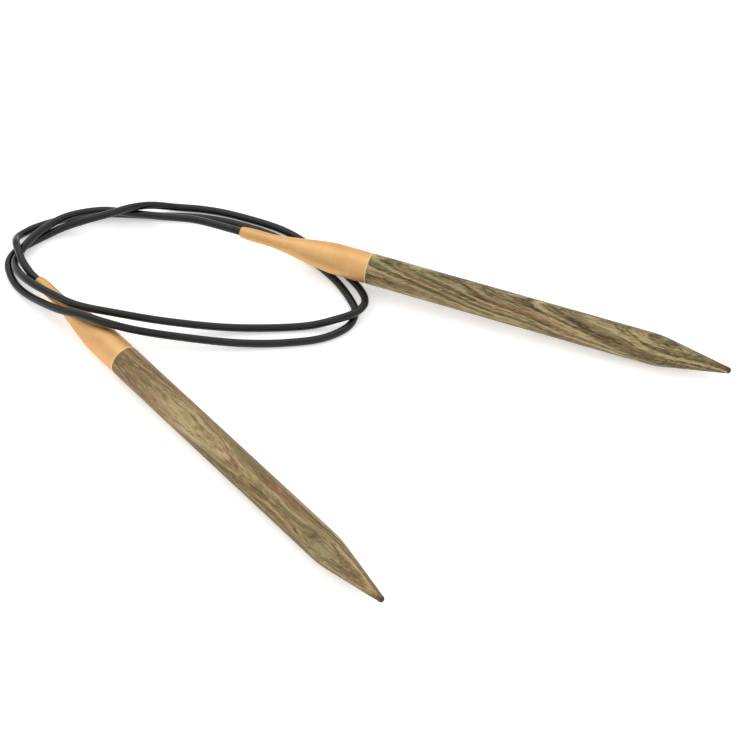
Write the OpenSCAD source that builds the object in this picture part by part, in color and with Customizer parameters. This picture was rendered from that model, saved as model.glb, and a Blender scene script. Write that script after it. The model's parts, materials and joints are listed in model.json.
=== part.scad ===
// Circular knitting needle: two turned wooden tips in metal ferrules, joined by a
// thin cord whose crimped ends turn freely inside the ferrules. It lies as it is
// put down: tip A flat, tip B resting on the coiled cord. Millimetres, +Z up.
// Each rod has its own axis, measured as s from the mouth of its ferrule (s = 0)
// to the point of its tip.

/* [Wooden tips] */
// Diameter of the working shaft, the needle size
needle_d = 8; // [7:0.5:10]
// Length of the parallel shaft in front of the ferrule
shaft_length = 75.5; // [50:0.5:110]
// Length of the taper from the shaft to the point
taper_length = 18.5; // [12:0.5:30]
// Diameter of the blunt, rounded point
point_d = 1.6; // [1:0.1:2.6]
// Length over which the shoulder is rounded, on each side of where the taper starts
shoulder_round = 2.5; // [0.5:0.5:5]
// Length of the glued tenon inside the ferrule
tenon_length = 10; // [6:0.5:12]
// Radial glue line between the tenon and its socket
glue_gap = 0.05; // [0.02:0.01:0.1]

/* [Ferrules] */
// Length of the whole ferrule, from its mouth to the wood
ferrule_length = 35; // [30:1:48]
// Length of the full-diameter sleeve next to the wood
sleeve_length = 9.5; // [6:0.5:13]
// Distance from the mouth to where the neck starts to flare
neck_length = 8.5; // [7:0.5:11]
// Diameter of the neck
neck_d = 3.3; // [3:0.1:4]
// Length over which the mouth is rounded off
nose_length = 4.2; // [2.5:0.1:6]
// Metal left at the edge of the mouth, around the bore
mouth_edge = 0.15; // [0.1:0.05:0.3]
// Small bevel on each side of the seam between metal and wood
seam_bevel = 0.12; // [0.05:0.01:0.25]
// Length over which the wood is eased down to the seam
shoulder_ease = 0.6; // [0.1:0.1:1.5]
// Wall of the socket that holds the tenon
socket_wall = 0.6; // [0.4:0.05:1]
// Thinnest metal around the cavity behind the mouth bore
cavity_wall = 0.45; // [0.3:0.05:0.8]

/* [Cord] */
// Diameter of the cord
cord_d = 2; // [1.6:0.1:2.2]
// Radial running clearance of the cord in the mouth bore
swivel_gap = 0.05; // [0.02:0.01:0.1]

/* [Cord stops] */
// Diameter of the metal stop crimped on each end of the cord
stop_d = 3; // [2.9:0.1:3.6]
// Length of a cord stop
stop_length = 6.5; // [5:0.5:8]
// Closed end of the stop, beyond the end of the cord
stop_cap = 0.8; // [0.5:0.1:1.5]
// Depth of the two crimp rings
crimp_depth = 0.15; // [0.05:0.05:0.3]
// Radial clearance between a stop and the cavity it turns in
stop_clearance = 0.3; // [0.2:0.05:0.5]
// End play of a stop behind the mouth bore
end_play = 0.2; // [0.1:0.05:0.4]

/* [Layout] */
// Compass heading of tip A, from its mouth to its point
heading_a = -47.5; // [-55:0.5:-40]
// Compass heading of tip B, from its mouth to its point
heading_b = -19.1; // [-24:0.1:-15]
// Slope of tip B, whose ferrule rests on the cord
slope_b = 1.8; // [1.8:0.1:3]

/* [Hidden] */

wood_colour = [0.50, 0.43, 0.28];
metal_colour = [0.86, 0.62, 0.36];
steel_colour = [0.72, 0.73, 0.74];
cord_colour = [0.05, 0.05, 0.055];

turned = 96;            // facets of a turned outline
bored = 64;             // facets of a bore
profile_steps = 16;     // steps along a curved outline
shoulder_steps = 8;     // steps round the shoulder
overlap = 0.5;          // how far a cut or a joined end runs past its face

needle_r = needle_d / 2;
point_r = point_d / 2;
neck_r = neck_d / 2;
cord_r = cord_d / 2;
stop_r = stop_d / 2;
bore_r = cord_r + swivel_gap;
mouth_r = bore_r + mouth_edge;
cavity_r = stop_r + stop_clearance;
socket_r = needle_r - socket_wall;
tenon_r = socket_r - glue_gap;
taper_start = ferrule_length + shaft_length;
point_s = taper_start + taper_length;
flare_end = ferrule_length - sleeve_length;
socket_start = ferrule_length - tenon_length - overlap;

// Outer radius of a ferrule at a distance s from its mouth: a rounded nose, a
// parallel neck, and a flare that is almost straight with soft ends.
function nose_r(s) =
    mouth_r + (neck_r - mouth_r) * sqrt(max(0, 1 - pow((nose_length - s) / nose_length, 2)));
function soft(t) = 0.6 * t + 0.4 * t * t * (3 - 2 * t);
function flare_r(s) =
    neck_r + (needle_r - neck_r) * soft((s - neck_length) / (flare_end - neck_length));
function ferrule_r(s) =
    s < nose_length ? nose_r(s) : s < neck_length ? neck_r : s < flare_end ? flare_r(s) : needle_r;

// The cavity starts at the first place where the flare can hold it.
cavity_places = [for (s = [neck_length : 0.25 : socket_start])
    if (ferrule_r(s) >= cavity_r + cavity_wall) s];
cavity_start = cavity_places[0];
stop_start = cavity_start + end_play;
cord_end_s = stop_start + stop_length - stop_cap;

// ---- where the rods lie ----------------------------------------------------

mouth_a = [-86, 40.5, needle_r];
slope_a = 0;
mouth_b = [-35, 54, needle_r * cos(slope_b) + (taper_start - shoulder_round) * sin(slope_b)];

function rod_axis(heading, slope) =
    [cos(heading) * cos(slope), sin(heading) * cos(slope), -sin(slope)];
function on_a(s) = mouth_a + s * rod_axis(heading_a, slope_a);
function on_b(s) = mouth_b + s * rod_axis(heading_b, slope_b);

module place_a() {
    translate(mouth_a) rotate([0, 90 + slope_a, heading_a]) children();
}

module place_b() {
    translate(mouth_b) rotate([0, 90 + slope_b, heading_b]) children();
}

// ---- route of the cord -----------------------------------------------------

// Centre line of the free cord over the table, [x, y, height], from mouth A round
// two and a third loops to mouth B. It passes over ferrule A and under ferrule B.
route = [
    [-90.5, 46.5, 4.3], [-91.9, 50, 4.5], [-92.9, 53, 4.1], [-93.1, 56, 2.8],
    [-91.5, 59, 1.5], [-88, 61.7, 1], [-79, 65, 1], [-70, 66, 1],
    [-58, 65.3, 1], [-46, 64.5, 1], [-36, 62, 1], [-26, 57.6, 1],
    [-18, 51, 1], [-11, 43.5, 1], [-7, 37, 1], [-5.6, 32.5, 1],
    [-7.5, 27.7, 1], [-14, 24, 1], [-24, 22.5, 1], [-36, 22, 1.8],
    [-50, 22.3, 3.9], [-60, 22.2, 6.6], [-67, 22.6, 9], [-73, 24.8, 9.2],
    [-80, 29, 6.6], [-88, 36.5, 2.6], [-92.5, 42, 1.2], [-94.8, 48, 1],
    [-93.8, 52.2, 1], [-91, 54.8, 1], [-86.5, 58, 1.1], [-81.5, 60, 2.3],
    [-75.5, 60.5, 4.6], [-69, 61.8, 5.8], [-64, 63.8, 5.8], [-59, 66.2, 4.1],
    [-53, 67.8, 1.6], [-44, 67.2, 1], [-34, 64.3, 1], [-23.5, 59.6, 1],
    [-15, 52.5, 1], [-7, 43.8, 1], [-3.8, 38, 2.2], [-3.2, 33.5, 3.3],
    [-5.3, 30.5, 3.5], [-9.5, 29, 2.8], [-19, 27.8, 1.1], [-36, 27, 1.6],
    [-52, 26.8, 4.2], [-66, 27.2, 7.4], [-75, 29, 8.2], [-82, 33.8, 7],
    [-87.5, 38.2, 6], [-91.3, 43.2, 4.2], [-92.9, 47.8, 2.5], [-92.1, 51.2, 2.1],
    [-90.3, 54, 3], [-87, 58, 3.4], [-81, 63, 3.2], [-72, 65.2, 3.2],
    [-64, 64, 3.4], [-56, 61.8, 4.6], [-47, 59.2, 6.2]
];

lead_out = 3;           // straight cord outside each mouth
tube_sides = 8;
tube_rings = 80;
tube_r = cord_r - 0.02; // the tube's corners stay just inside the round ends

path = concat([on_a(overlap), on_a(-lead_out)], route, [on_b(-lead_out), on_b(overlap)]);
before_path = on_a(overlap + lead_out);
after_path = on_b(overlap + lead_out);
last = len(path) - 1;

function path_point(i) = i < 0 ? before_path : i > last ? after_path : path[i];

// Smooth curve through the route's points, and its direction, at u = 0 to last.
function curve(u) =
    let (i = min(floor(u), last - 1), t = u - i,
         a = path_point(i - 1), b = path_point(i), c = path_point(i + 1), d = path_point(i + 2))
    0.5 * (2 * b + (c - a) * t + (2 * a - 5 * b + 4 * c - d) * t * t
        + (3 * b - a - 3 * c + d) * t * t * t);
function direction(u) =
    let (step = curve(min(u + 0.05, last)) - curve(max(u - 0.05, 0))) step / norm(step);

// The cord never sinks into the table.
function on_table(p) = [p.x, p.y, max(p.z, cord_r)];

function ring(u) =
    let (centre = on_table(curve(u)), ahead = direction(u),
         side = cross([0, 0, 1], ahead) / norm(cross([0, 0, 1], ahead)),
         up = cross(ahead, side))
    [for (k = [0 : tube_sides - 1])
        centre + tube_r * (cos((k + 0.5) * 360 / tube_sides) * side
            + sin((k + 0.5) * 360 / tube_sides) * up)];

// ---- pieces ----------------------------------------------------------------

// Laminated wooden tip: glued tenon, parallel shaft, taper and rounded point.
module wooden_tip() {
    taper_angle = atan((needle_r - point_r) / taper_length);
    ball_r = point_r / cos(taper_angle);
    ball_s = point_s - ball_r;
    round_drop = shoulder_round * (needle_r - point_r) / taper_length;
    shoulder = [for (t = [0 : 1 / shoulder_steps : 1])
        [needle_r - round_drop * t * t, taper_start + shoulder_round * (2 * t - 1)]];
    rotate_extrude($fn = turned)
        polygon(concat(
            [[0, ferrule_length - tenon_length],
             [tenon_r - 0.3, ferrule_length - tenon_length],
             [tenon_r, ferrule_length - tenon_length + 0.5],
             [tenon_r, ferrule_length],
             [needle_r - seam_bevel, ferrule_length],
             [needle_r, ferrule_length + shoulder_ease]],
            shoulder,
            [for (k = [0 : profile_steps])
                let (angle = taper_angle + k * (90 - taper_angle) / profile_steps)
                [k == profile_steps ? 0 : ball_r * cos(angle), ball_s + ball_r * sin(angle)]]));
}

// Spun metal ferrule: mouth bore, cavity for the cord stop, socket for the tenon.
module ferrule() {
    nose = [for (k = [0 : profile_steps]) nose_length * k / profile_steps];
    flare = [for (k = [0 : profile_steps])
        neck_length + (flare_end - neck_length) * k / profile_steps];
    difference() {
        rotate_extrude($fn = turned)
            polygon(concat(
                [[0, 0]],
                [for (s = concat(nose, flare)) [ferrule_r(s), s]],
                [[needle_r, ferrule_length - seam_bevel],
                 [needle_r - seam_bevel, ferrule_length],
                 [0, ferrule_length]]));
        translate([0, 0, -overlap])
            cylinder(r = bore_r, h = cavity_start + 2 * overlap, $fn = bored);
        translate([0, 0, cavity_start])
            cylinder(r = cavity_r, h = socket_start - cavity_start + overlap, $fn = bored);
        translate([0, 0, socket_start])
            cylinder(r = socket_r, h = ferrule_length - socket_start + overlap, $fn = bored);
    }
}

// Metal stop on the end of the cord: a blind sleeve with two crimp rings.
module cord_stop() {
    chamfer = 0.25;
    crimp_width = 0.8;
    crimps = [for (k = [1, 3]) stop_start + k * stop_length / 5];
    difference() {
        rotate_extrude($fn = turned)
            polygon(concat(
                [[0, stop_start], [stop_r - chamfer, stop_start], [stop_r, stop_start + chamfer]],
                [for (c = crimps, p = [[0, 0], [crimp_depth, 0.25], [crimp_depth, 0.75], [0, 1]])
                    [stop_r - p.x, c + p.y * crimp_width]],
                [[stop_r, stop_start + stop_length - chamfer],
                 [stop_r - chamfer, stop_start + stop_length],
                 [0, stop_start + stop_length]]));
        translate([0, 0, stop_start - overlap])
            cylinder(r = cord_r, h = cord_end_s - stop_start + overlap, $fn = bored);
    }
}

// Round end of the cord, from its stop out through the mouth bore.
module cord_end() {
    translate([0, 0, -overlap])
        cylinder(r = cord_r, h = cord_end_s + overlap, $fn = bored);
}

// Free cord between the mouths.
module cord_tube() {
    points = [for (k = [0 : tube_rings - 1], p = ring(k * last / (tube_rings - 1))) p];
    sides = tube_sides;
    walls = [for (k = [0 : tube_rings - 2], j = [0 : sides - 1])
        let (a = k * sides + j, b = k * sides + (j + 1) % sides)
        each [[a, a + sides, b], [b, a + sides, b + sides]]];
    start_cap = [for (j = [0 : sides - 1]) j];
    end_cap = [for (j = [sides - 1 : -1 : 0]) (tube_rings - 1) * sides + j];
    polyhedron(points = points, faces = concat(walls, [start_cap, end_cap]));
}

// ---- nodes -----------------------------------------------------------------

module needle_tip_a() {
    color(wood_colour) place_a() wooden_tip();
}

module ferrule_a() {
    color(metal_colour) place_a() ferrule();
}

module cord_stop_a() {
    color(steel_colour) place_a() cord_stop();
}

module needle_tip_b() {
    color(wood_colour) place_b() wooden_tip();
}

module ferrule_b() {
    color(metal_colour) place_b() ferrule();
}

module cord_stop_b() {
    color(steel_colour) place_b() cord_stop();
}

module cord() {
    color(cord_colour) union() {
        place_a() cord_end();
        cord_tube();
        place_b() cord_end();
    }
}

needle_tip_a();
ferrule_a();
cord_stop_a();
needle_tip_b();
ferrule_b();
cord_stop_b();
cord();
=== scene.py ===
"""The looks of a circular knitting needle: laminated wood, satin metal and a glossy cord."""
import json
import math

import bmesh
import bpy
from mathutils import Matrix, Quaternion, Vector


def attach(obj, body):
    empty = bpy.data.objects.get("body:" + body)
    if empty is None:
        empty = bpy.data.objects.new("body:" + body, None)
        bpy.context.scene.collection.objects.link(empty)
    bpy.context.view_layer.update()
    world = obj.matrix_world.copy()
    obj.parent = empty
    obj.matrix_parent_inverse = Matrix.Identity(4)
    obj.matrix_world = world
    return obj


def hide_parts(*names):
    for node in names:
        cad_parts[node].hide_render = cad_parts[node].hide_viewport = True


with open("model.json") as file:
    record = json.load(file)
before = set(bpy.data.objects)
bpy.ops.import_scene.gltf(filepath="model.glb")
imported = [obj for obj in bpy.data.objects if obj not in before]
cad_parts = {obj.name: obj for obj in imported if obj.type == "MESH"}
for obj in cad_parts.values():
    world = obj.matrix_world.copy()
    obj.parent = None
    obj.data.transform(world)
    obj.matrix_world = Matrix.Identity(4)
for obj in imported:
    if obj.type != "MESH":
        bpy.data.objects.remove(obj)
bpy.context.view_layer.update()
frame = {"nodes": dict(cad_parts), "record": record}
MM = 0.001
JOINTS = {joint["child"]: joint for joint in frame["record"]["behaviour"]["joints"]}


class Rod:
    """One rod: where its ferrule's mouth is, and the way it points."""

    def __init__(self, letter):
        joint = JOINTS["needle_" + letter]
        self.letter = letter
        self.mouth = Vector(joint["pos_m"])
        self.axis = Vector(joint["axis"]).normalized()

    def at(self, distance):
        """The point on the axis at a distance from the mouth, towards the point."""
        return self.mouth + self.axis * distance

    def across(self, roll):
        """Two directions across the axis: level, and up turned by roll degrees."""
        level = self.axis.cross(Vector((0, 0, 1))).normalized()
        turn = Quaternion(self.axis, math.radians(roll))
        return turn @ level, turn @ level.cross(self.axis)


ROD_A, ROD_B = Rod("a"), Rod("b")


# ---- camera ----------------------------------------------------------------

def make_camera():
    """A long lens, looking down at the table from the front."""
    elevation = math.radians(52)
    distance = 0.5233
    target = Vector((-0.0021, 0.0151, 0))
    data = bpy.data.cameras.new("camera")
    data.sensor_width = 36
    data.lens = 103
    camera = bpy.data.objects.new("camera", data)
    back = Vector((0, -math.cos(elevation), math.sin(elevation)))
    camera.location = target + back * distance
    camera.rotation_euler = (math.pi / 2 - elevation, 0, 0)
    bpy.context.collection.objects.link(camera)
    bpy.context.scene.camera = camera


# ---- cord ------------------------------------------------------------------

CORD_DIAMETER = 2 * MM
LEAD_OUT = 3 * MM       # straight cord outside each mouth
CORD_INSIDE = 18 * MM   # from a mouth to the cord's end, which its stop hides
STEPS = 8               # curve points to each span of the route

ROUTE = [               # millimetres, as in the CAD model
    (-90.5, 46.5, 4.3), (-91.9, 50, 4.5), (-92.9, 53, 4.1), (-93.1, 56, 2.8),
    (-91.5, 59, 1.5), (-88, 61.7, 1), (-79, 65, 1), (-70, 66, 1),
    (-58, 65.3, 1), (-46, 64.5, 1), (-36, 62, 1), (-26, 57.6, 1),
    (-18, 51, 1), (-11, 43.5, 1), (-7, 37, 1), (-5.6, 32.5, 1),
    (-7.5, 27.7, 1), (-14, 24, 1), (-24, 22.5, 1), (-36, 22, 1.8),
    (-50, 22.3, 3.9), (-60, 22.2, 6.6), (-67, 22.6, 9), (-73, 24.8, 9.2),
    (-80, 29, 6.6), (-88, 36.5, 2.6), (-92.5, 42, 1.2), (-94.8, 48, 1),
    (-93.8, 52.2, 1), (-91, 54.8, 1), (-86.5, 58, 1.1), (-81.5, 60, 2.3),
    (-75.5, 60.5, 4.6), (-69, 61.8, 5.8), (-64, 63.8, 5.8), (-59, 66.2, 4.1),
    (-53, 67.8, 1.6), (-44, 67.2, 1), (-34, 64.3, 1), (-23.5, 59.6, 1),
    (-15, 52.5, 1), (-7, 43.8, 1), (-3.8, 38, 2.2), (-3.2, 33.5, 3.3),
    (-5.3, 30.5, 3.5), (-9.5, 29, 2.8), (-19, 27.8, 1.1), (-36, 27, 1.6),
    (-52, 26.8, 4.2), (-66, 27.2, 7.4), (-75, 29, 8.2), (-82, 33.8, 7),
    (-87.5, 38.2, 6), (-91.3, 43.2, 4.2), (-92.9, 47.8, 2.5), (-92.1, 51.2, 2.1),
    (-90.3, 54, 3), (-87, 58, 3.4), (-81, 63, 3.2), (-72, 65.2, 3.2),
    (-64, 64, 3.4), (-56, 61.8, 4.6), (-47, 59.2, 6.2),
]


def between(a, b, c, d, t):
    """The smooth curve from b to c at t, with a before them and d after."""
    return 0.5 * (2 * b + (c - a) * t + (2 * a - 5 * b + 4 * c - d) * t ** 2
                  + (3 * b - a - 3 * c + d) * t ** 3)


def cord_points():
    """The cord's centre line, from its end inside ferrule A to its end inside ferrule B."""
    stops = [ROD_A.at(CORD_INSIDE), ROD_A.at(0), ROD_A.at(-LEAD_OUT)]
    stops += [Vector(point) * MM for point in ROUTE]
    stops += [ROD_B.at(-LEAD_OUT), ROD_B.at(0), ROD_B.at(CORD_INSIDE)]
    points = [stops[0]]
    for k in range(1, len(stops) - 2):
        for step in range(STEPS):
            points.append(between(*stops[k - 1:k + 3], step / STEPS))
    points += stops[-2:]
    for point in points:
        point.z = max(point.z, CORD_DIAMETER / 2)
    return points


def make_tube(name, points, radius, sides=20):
    """A closed round tube along a centre line that never runs straight up."""
    tube = bmesh.new()
    rings = []
    for i, point in enumerate(points):
        ahead = (points[min(i + 1, len(points) - 1)] - points[max(i - 1, 0)]).normalized()
        side = Vector((0, 0, 1)).cross(ahead).normalized()
        top = ahead.cross(side)
        turns = [math.tau * k / sides for k in range(sides)]
        rings.append([tube.verts.new(point + radius * (math.cos(turn) * side
                                                       + math.sin(turn) * top))
                      for turn in turns])
    for one, two in zip(rings, rings[1:]):
        for k in range(sides):
            face = tube.faces.new((one[k - 1], one[k], two[k], two[k - 1]))
            face.smooth = True
    tube.faces.new(rings[0])
    tube.faces.new(reversed(rings[-1]))
    bmesh.ops.recalc_face_normals(tube, faces=tube.faces)
    mesh = bpy.data.meshes.new(name)
    tube.to_mesh(mesh)
    tube.free()
    made = bpy.data.objects.new(name, mesh)
    bpy.context.collection.objects.link(made)
    return made


def make_cord():
    """One smooth round tube, in place of the plain CAD cord."""
    points = cord_points()
    cord = make_tube("black_cord", points, CORD_DIAMETER / 2)
    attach(cord, "cord_loop")
    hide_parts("cord")
    return cord


# ---- shader helpers --------------------------------------------------------

class Shader:
    """A material's node tree, with short calls that add one node each."""

    def __init__(self, name):
        self.material = bpy.data.materials.new(name)
        self.material.use_nodes = True
        self.tree = self.material.node_tree
        self.surface = self.tree.nodes["Principled BSDF"]

    def put(self, socket, value):
        """Links a socket to another node's output, or sets its own value."""
        if isinstance(value, bpy.types.NodeSocket):
            self.tree.links.new(value, socket)
        else:
            socket.default_value = value

    def set(self, **values):
        """Sets the surface's sockets by name, with _ for a space."""
        for name, value in values.items():
            self.put(self.surface.inputs[name.replace("_", " ")], value)

    def math(self, operation, *values):
        """One step of arithmetic on numbers or sockets."""
        node = self.tree.nodes.new("ShaderNodeMath")
        node.operation = operation
        for socket, value in zip(node.inputs, values):
            self.put(socket, value)
        return node.outputs[0]

    def dot(self, vector, direction):
        """How far a vector reaches in a fixed direction."""
        node = self.tree.nodes.new("ShaderNodeVectorMath")
        node.operation = "DOT_PRODUCT"
        self.put(node.inputs[0], vector)
        node.inputs[1].default_value = direction
        return node.outputs["Value"]

    def join(self, x, y, z):
        """Three numbers as one vector."""
        node = self.tree.nodes.new("ShaderNodeCombineXYZ")
        for socket, value in zip(node.inputs, (x, y, z)):
            self.put(socket, value)
        return node.outputs[0]

    def noise(self, vector, detail=3.0, rough=0.5):
        """Smooth noise, about 0.5 on average."""
        node = self.tree.nodes.new("ShaderNodeTexNoise")
        self.put(node.inputs["Vector"], vector)
        node.inputs["Scale"].default_value = 1
        node.inputs["Detail"].default_value = detail
        node.inputs["Roughness"].default_value = rough
        return node.outputs["Fac"]

    def random(self, value):
        """A fixed random number for each whole value."""
        node = self.tree.nodes.new("ShaderNodeTexWhiteNoise")
        node.noise_dimensions = "1D"
        self.put(node.inputs["W"], value)
        return node.outputs["Value"]

    def remap(self, value, low, high, to_low=0.0, to_high=1.0, smooth=True):
        """Takes low to high onto to_low to to_high, and holds it there beyond."""
        node = self.tree.nodes.new("ShaderNodeMapRange")
        node.interpolation_type = "SMOOTHSTEP" if smooth else "LINEAR"
        for socket, number in zip(node.inputs, (value, low, high, to_low, to_high)):
            self.put(socket, number)
        return node.outputs[0]

    def ramp(self, value, stops):
        """A colour from (place, colour) stops."""
        node = self.tree.nodes.new("ShaderNodeValToRGB")
        self.put(node.inputs[0], value)
        elements = node.color_ramp.elements
        while len(elements) < len(stops):
            elements.new(1)
        for element, (place, colour) in zip(elements, stops):
            element.position = place
            element.color = (*colour, 1)
        return node.outputs[0]

    def mix(self, amount, a, b):
        """Colour a with an amount of colour b over it."""
        node = self.tree.nodes.new("ShaderNodeMix")
        node.data_type = "RGBA"
        self.put(node.inputs["Factor"], amount)
        for socket, value in ((node.inputs[6], a), (node.inputs[7], b)):
            self.put(socket, (*value, 1) if isinstance(value, tuple) else value)
        return node.outputs[2]

    def bump(self, height, distance, strength=1.0):
        """Fine relief in the surface."""
        node = self.tree.nodes.new("ShaderNodeBump")
        node.inputs["Strength"].default_value = strength
        node.inputs["Distance"].default_value = distance
        self.put(node.inputs["Height"], height)
        self.put(self.surface.inputs["Normal"], node.outputs[0])

    def rod_place(self, rod, roll=0.0):
        """Millimetres along a rod from its mouth, and across it in two directions."""
        coordinates = self.tree.nodes.new("ShaderNodeTexCoord")
        from_mouth = self.tree.nodes.new("ShaderNodeVectorMath")
        from_mouth.operation = "SUBTRACT"
        self.put(from_mouth.inputs[0], coordinates.outputs["Object"])
        from_mouth.inputs[1].default_value = rod.mouth
        level, up = rod.across(roll)
        return [self.dot(from_mouth.outputs[0], direction / MM)
                for direction in (rod.axis, level, up)]


# ---- materials -------------------------------------------------------------

VENEER = 1.3            # thickness of one veneer, mm
POINT = 129.0           # from the mouth to the point of the wood, mm
SEAM = 35.0             # from the mouth to the wood, mm
DARK_GRAIN = (0.062, 0.038, 0.016)
BROWN = (0.150, 0.078, 0.036)
PALE_GRAIN = (0.470, 0.390, 0.220)
RED_BROWN = (0.262, 0.120, 0.054)
OLIVE = (0.140, 0.130, 0.040)
BURNISHED = (0.050, 0.028, 0.015)

# roll and tilt of the veneers, the wave they are glued in (period, crest and height, mm),
# and how strongly grain lines, red patches, single veneers and the browner end show
TIP_A_WOOD = {
    "roll": 30, "tilt": 0.004, "seed": 3.0, "lines": 0.95, "red": 0.70,
    "veneers": 0.55, "dark": 0.36,
    "wave": (68.0, 62.0, 0.80),
    "dyes": [(0.10, (0.110, 0.066, 0.024)), (0.36, (0.200, 0.136, 0.050)),
             (0.55, (0.285, 0.200, 0.082)), (0.90, (0.450, 0.350, 0.175))]}
TIP_B_WOOD = {
    "roll": -14, "tilt": 0.120, "seed": 71.0, "lines": 1.35, "red": 0.60,
    "veneers": 0.20, "dark": 0.0,
    "wave": (21.0, 46.0, 0.12),
    "dyes": [(0.12, (0.048, 0.030, 0.010)), (0.38, (0.122, 0.085, 0.028)),
             (0.55, (0.205, 0.150, 0.056)), (0.88, (0.410, 0.325, 0.155))]}


def wood_material(rod, wood):
    """Dyed veneers glued flat, cut into loops by the turned surface, under satin varnish."""
    shader = Shader("laminated_wood_" + rod.letter)
    math_, seed = shader.math, wood["seed"]
    along, across, up = shader.rod_place(rod, wood["roll"])

    def grain(height, lengthwise, crosswise, upwards, offset, **options):
        """Noise drawn out along the rod: spots per mm in its three directions."""
        return shader.noise(shader.join(math_("MULTIPLY_ADD", along, lengthwise, seed + offset),
                                        math_("MULTIPLY", across, crosswise),
                                        math_("MULTIPLY", height, upwards)), **options)

    def swing(value, amount):
        """Turns noise round 0.5 into a swing round nought."""
        return math_("MULTIPLY_ADD", value, amount, -0.5 * amount)

    # the glued veneers wave, so the turned surface cuts them in nested loops
    depth = math_("MULTIPLY_ADD", along, wood["tilt"], up)
    period, crest, height = wood["wave"]
    turns = math_("MULTIPLY", math_("SUBTRACT", along, crest), math.tau / period)
    depth = math_("ADD", depth, math_("MULTIPLY", math_("COSINE", turns), height))
    depth = math_("ADD", depth, swing(grain(up, 0.045, 0.10, 0.10, 0.0, detail=0.0), 2.0))
    depth = math_("ADD", depth, swing(grain(up, 0.11, 0.35, 0.30, 9.0, detail=2.0), 0.9))
    layer = math_("DIVIDE", depth, VENEER)
    within = math_("FRACT", layer)
    dye = shader.random(math_("ADD", math_("FLOOR", layer), seed))

    broad = grain(depth, 0.016, 0.08, 1.2, 17.0, detail=2.0)
    fine = grain(depth, 0.030, 0.25, 2.6, 29.0, detail=3.0, rough=0.62)
    fibre = grain(up, 0.32, 3.0, 3.0, 37.0, detail=3.0, rough=0.65)
    tone = math_("ADD", 0.5, swing(dye, wood["veneers"]))
    for part, amount in ((broad, 1.7), (fine, 1.9), (fibre, 1.6)):
        tone = math_("ADD", tone, swing(part, amount * wood["lines"]))
    colour = shader.ramp(tone, wood["dyes"])

    red = shader.remap(grain(depth, 0.035, 0.20, 1.1, 43.0, detail=2.0), 0.52, 0.66)
    colour = shader.mix(math_("MULTIPLY", red, wood["red"]), colour, RED_BROWN)
    olive = shader.remap(grain(depth, 0.040, 0.20, 1.0, 53.0, detail=2.0), 0.53, 0.68)
    colour = shader.mix(math_("MULTIPLY", olive, 0.50), colour, OLIVE)

    browner = shader.remap(along, SEAM + 31.0, SEAM + 3.0, 0.0, wood["dark"])
    colour = shader.mix(browner, colour, BROWN)

    glue = shader.remap(math_("ABSOLUTE", math_("SUBTRACT", within, 0.5)), 0.44, 0.50)
    colour = shader.mix(math_("MULTIPLY", glue, 0.30), colour, DARK_GRAIN)
    lines = shader.remap(fine, 0.44, 0.28)
    colour = shader.mix(math_("MULTIPLY", lines, 0.36), colour, DARK_GRAIN)
    flecks = grain(up, 0.45, 4.2, 4.2, 61.0, detail=2.0)
    colour = shader.mix(shader.remap(flecks, 0.57, 0.74, 0.0, 0.65), colour, DARK_GRAIN)
    colour = shader.mix(shader.remap(flecks, 0.43, 0.28, 0.0, 0.50), colour, PALE_GRAIN)

    # the very end is rubbed dark
    burnish = shader.remap(along, POINT - 1.3, POINT - 0.3)
    colour = shader.mix(burnish, colour, BURNISHED)

    shader.set(Base_Color=colour, Coat_Weight=0.06, Coat_Roughness=0.30, IOR=1.38,
               Roughness=shader.remap(fibre, 0.3, 0.7, 0.60, 0.46, smooth=False))
    shader.bump(math_("SUBTRACT", fibre, math_("MULTIPLY", flecks, 0.7)), 0.05 * MM, 0.5)
    return shader.material


def ferrule_material(rod):
    """Satin gold metal, spun on a lathe: fine rings round it, plain from afar."""
    shader = Shader("satin_gold_" + rod.letter)
    along, across, up = shader.rod_place(rod)
    turned = shader.noise(shader.join(shader.math("MULTIPLY", along, 7.0),
                                      shader.math("MULTIPLY", across, 0.12),
                                      shader.math("MULTIPLY", up, 0.12)), detail=4.0, rough=0.7)
    cloudy = shader.noise(shader.join(shader.math("MULTIPLY", along, 0.10),
                                      shader.math("MULTIPLY", across, 0.22),
                                      shader.math("MULTIPLY", up, 0.22)), detail=2.0)
    colour = shader.mix(shader.remap(cloudy, 0.35, 0.68), (0.670, 0.398, 0.166),
                        (0.735, 0.455, 0.204))
    colour = shader.mix(shader.remap(turned, 0.52, 0.80, 0.0, 0.25), colour,
                        (0.600, 0.335, 0.130))
    # painted highlight: a lighter band on the ferrule's rim next to the wood, in place of the
    # light a chamfered edge would catch
    painted_lip_highlight = shader.remap(along, SEAM - 0.40, SEAM - 0.15)
    colour = shader.mix(painted_lip_highlight, colour, (0.860, 0.610, 0.330))
    shader.set(Base_Color=colour, Metallic=1.0,
               Roughness=shader.remap(turned, 0.25, 0.75, 0.48, 0.64, smooth=False))
    shader.bump(turned, 0.015 * MM, 0.35)
    return shader.material


def cord_material():
    """Glossy black plastic with a faint unevenness along it."""
    shader = Shader("glossy_black")
    coordinates = shader.tree.nodes.new("ShaderNodeTexCoord")
    scaled = shader.tree.nodes.new("ShaderNodeVectorMath")
    scaled.operation = "SCALE"
    shader.put(scaled.inputs[0], coordinates.outputs["Object"])
    scaled.inputs["Scale"].default_value = 0.35 / MM
    uneven = shader.noise(scaled.outputs[0], detail=3.0, rough=0.5)
    colour = shader.mix(shader.remap(uneven, 0.35, 0.65), (0.0040, 0.0052, 0.0050),
                        (0.0075, 0.0090, 0.0084))
    shader.set(Base_Color=colour, IOR=1.40,
               Roughness=shader.remap(uneven, 0.3, 0.7, 0.12, 0.20, smooth=False))
    shader.bump(uneven, 0.02 * MM, 0.15)
    return shader.material


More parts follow.
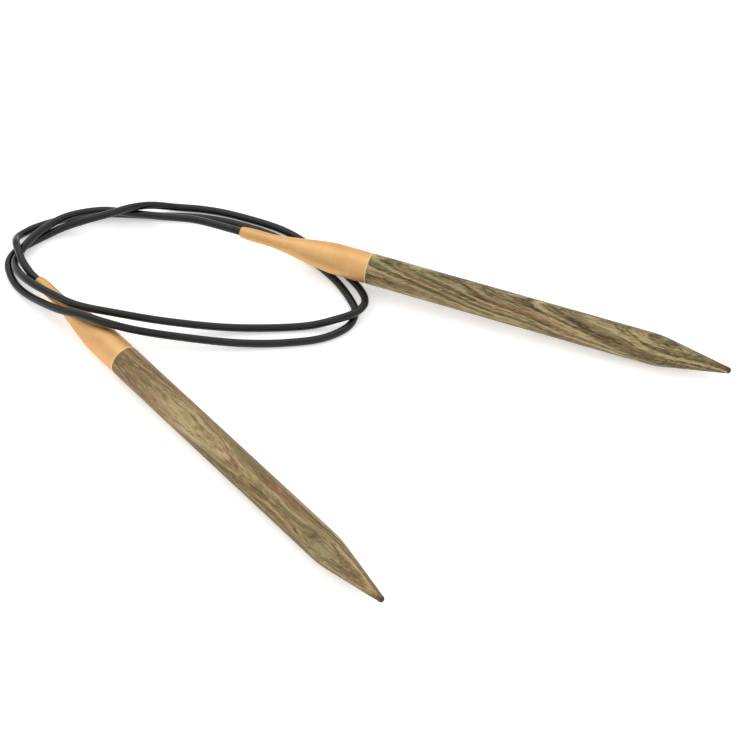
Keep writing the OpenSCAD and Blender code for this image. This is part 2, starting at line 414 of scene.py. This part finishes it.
def stop_material(rod):
    """Plain turned steel, for the stops inside the ferrules."""
    shader = Shader("turned_steel_" + rod.letter)
    along, across, up = shader.rod_place(rod)
    turned = shader.noise(shader.join(shader.math("MULTIPLY", along, 14.0),
                                      shader.math("MULTIPLY", across, 0.2),
                                      shader.math("MULTIPLY", up, 0.2)), detail=4.0)
    colour = shader.mix(shader.remap(turned, 0.3, 0.7), (0.50, 0.51, 0.52), (0.66, 0.67, 0.68))
    shader.set(Base_Color=colour, Metallic=1.0,
               Roughness=shader.remap(turned, 0.3, 0.7, 0.28, 0.42, smooth=False))
    shader.bump(turned, 0.01 * MM, 0.4)
    return shader.material


def dress(node, material):
    """Gives a CAD node its material."""
    mesh = frame["nodes"][node].data
    mesh.materials.clear()
    mesh.materials.append(material)


# ---- studio ----------------------------------------------------------------

def make_floor():
    """A wide pale table top."""
    half = 3.0
    mesh = bpy.data.meshes.new("table_top")
    mesh.from_pydata([(-half, -half, 0), (half, -half, 0), (half, half, 0), (-half, half, 0)],
                     [], [(0, 1, 2, 3)])
    floor = bpy.data.objects.new("table_top", mesh)
    bpy.context.collection.objects.link(floor)
    shader = Shader("pale_table")
    shader.set(Base_Color=(0.95, 0.95, 0.95, 1), Roughness=0.9, Specular_IOR_Level=0.0,
               Emission_Color=(1, 1, 1, 1), Emission_Strength=0.35)
    mesh.materials.append(shader.material)


def add_light(name, place, size, power):
    """A square softbox that looks at the middle of the needle."""
    data = bpy.data.lights.new(name, "AREA")
    data.shape = "SQUARE"
    data.size = size
    data.energy = power
    light = bpy.data.objects.new(name, data)
    light.location = place
    light.rotation_euler = (-Vector(place)).to_track_quat("-Z", "Y").to_euler()
    bpy.context.collection.objects.link(light)


def make_studio():
    """Light from all round, a little stronger from above and behind."""
    world = bpy.data.worlds.new("studio")
    world.use_nodes = True
    background = world.node_tree.nodes["Background"]
    background.inputs["Color"].default_value = (1, 1, 1, 1)
    background.inputs["Strength"].default_value = 0.95
    bpy.context.scene.world = world
    bpy.context.scene.view_settings.view_transform = "Standard"
    add_light("softbox_above", (-0.20, 0.45, 0.90), 1.0, 2.4)


# ---- the scene -------------------------------------------------------------

make_camera()
cord = make_cord()
cord.data.materials.append(cord_material())
dress("needle_tip_a", wood_material(ROD_A, TIP_A_WOOD))
dress("needle_tip_b", wood_material(ROD_B, TIP_B_WOOD))
for rod in (ROD_A, ROD_B):
    dress("ferrule_" + rod.letter, ferrule_material(rod))
    dress("cord_stop_" + rod.letter, stop_material(rod))
make_floor()
make_studio()
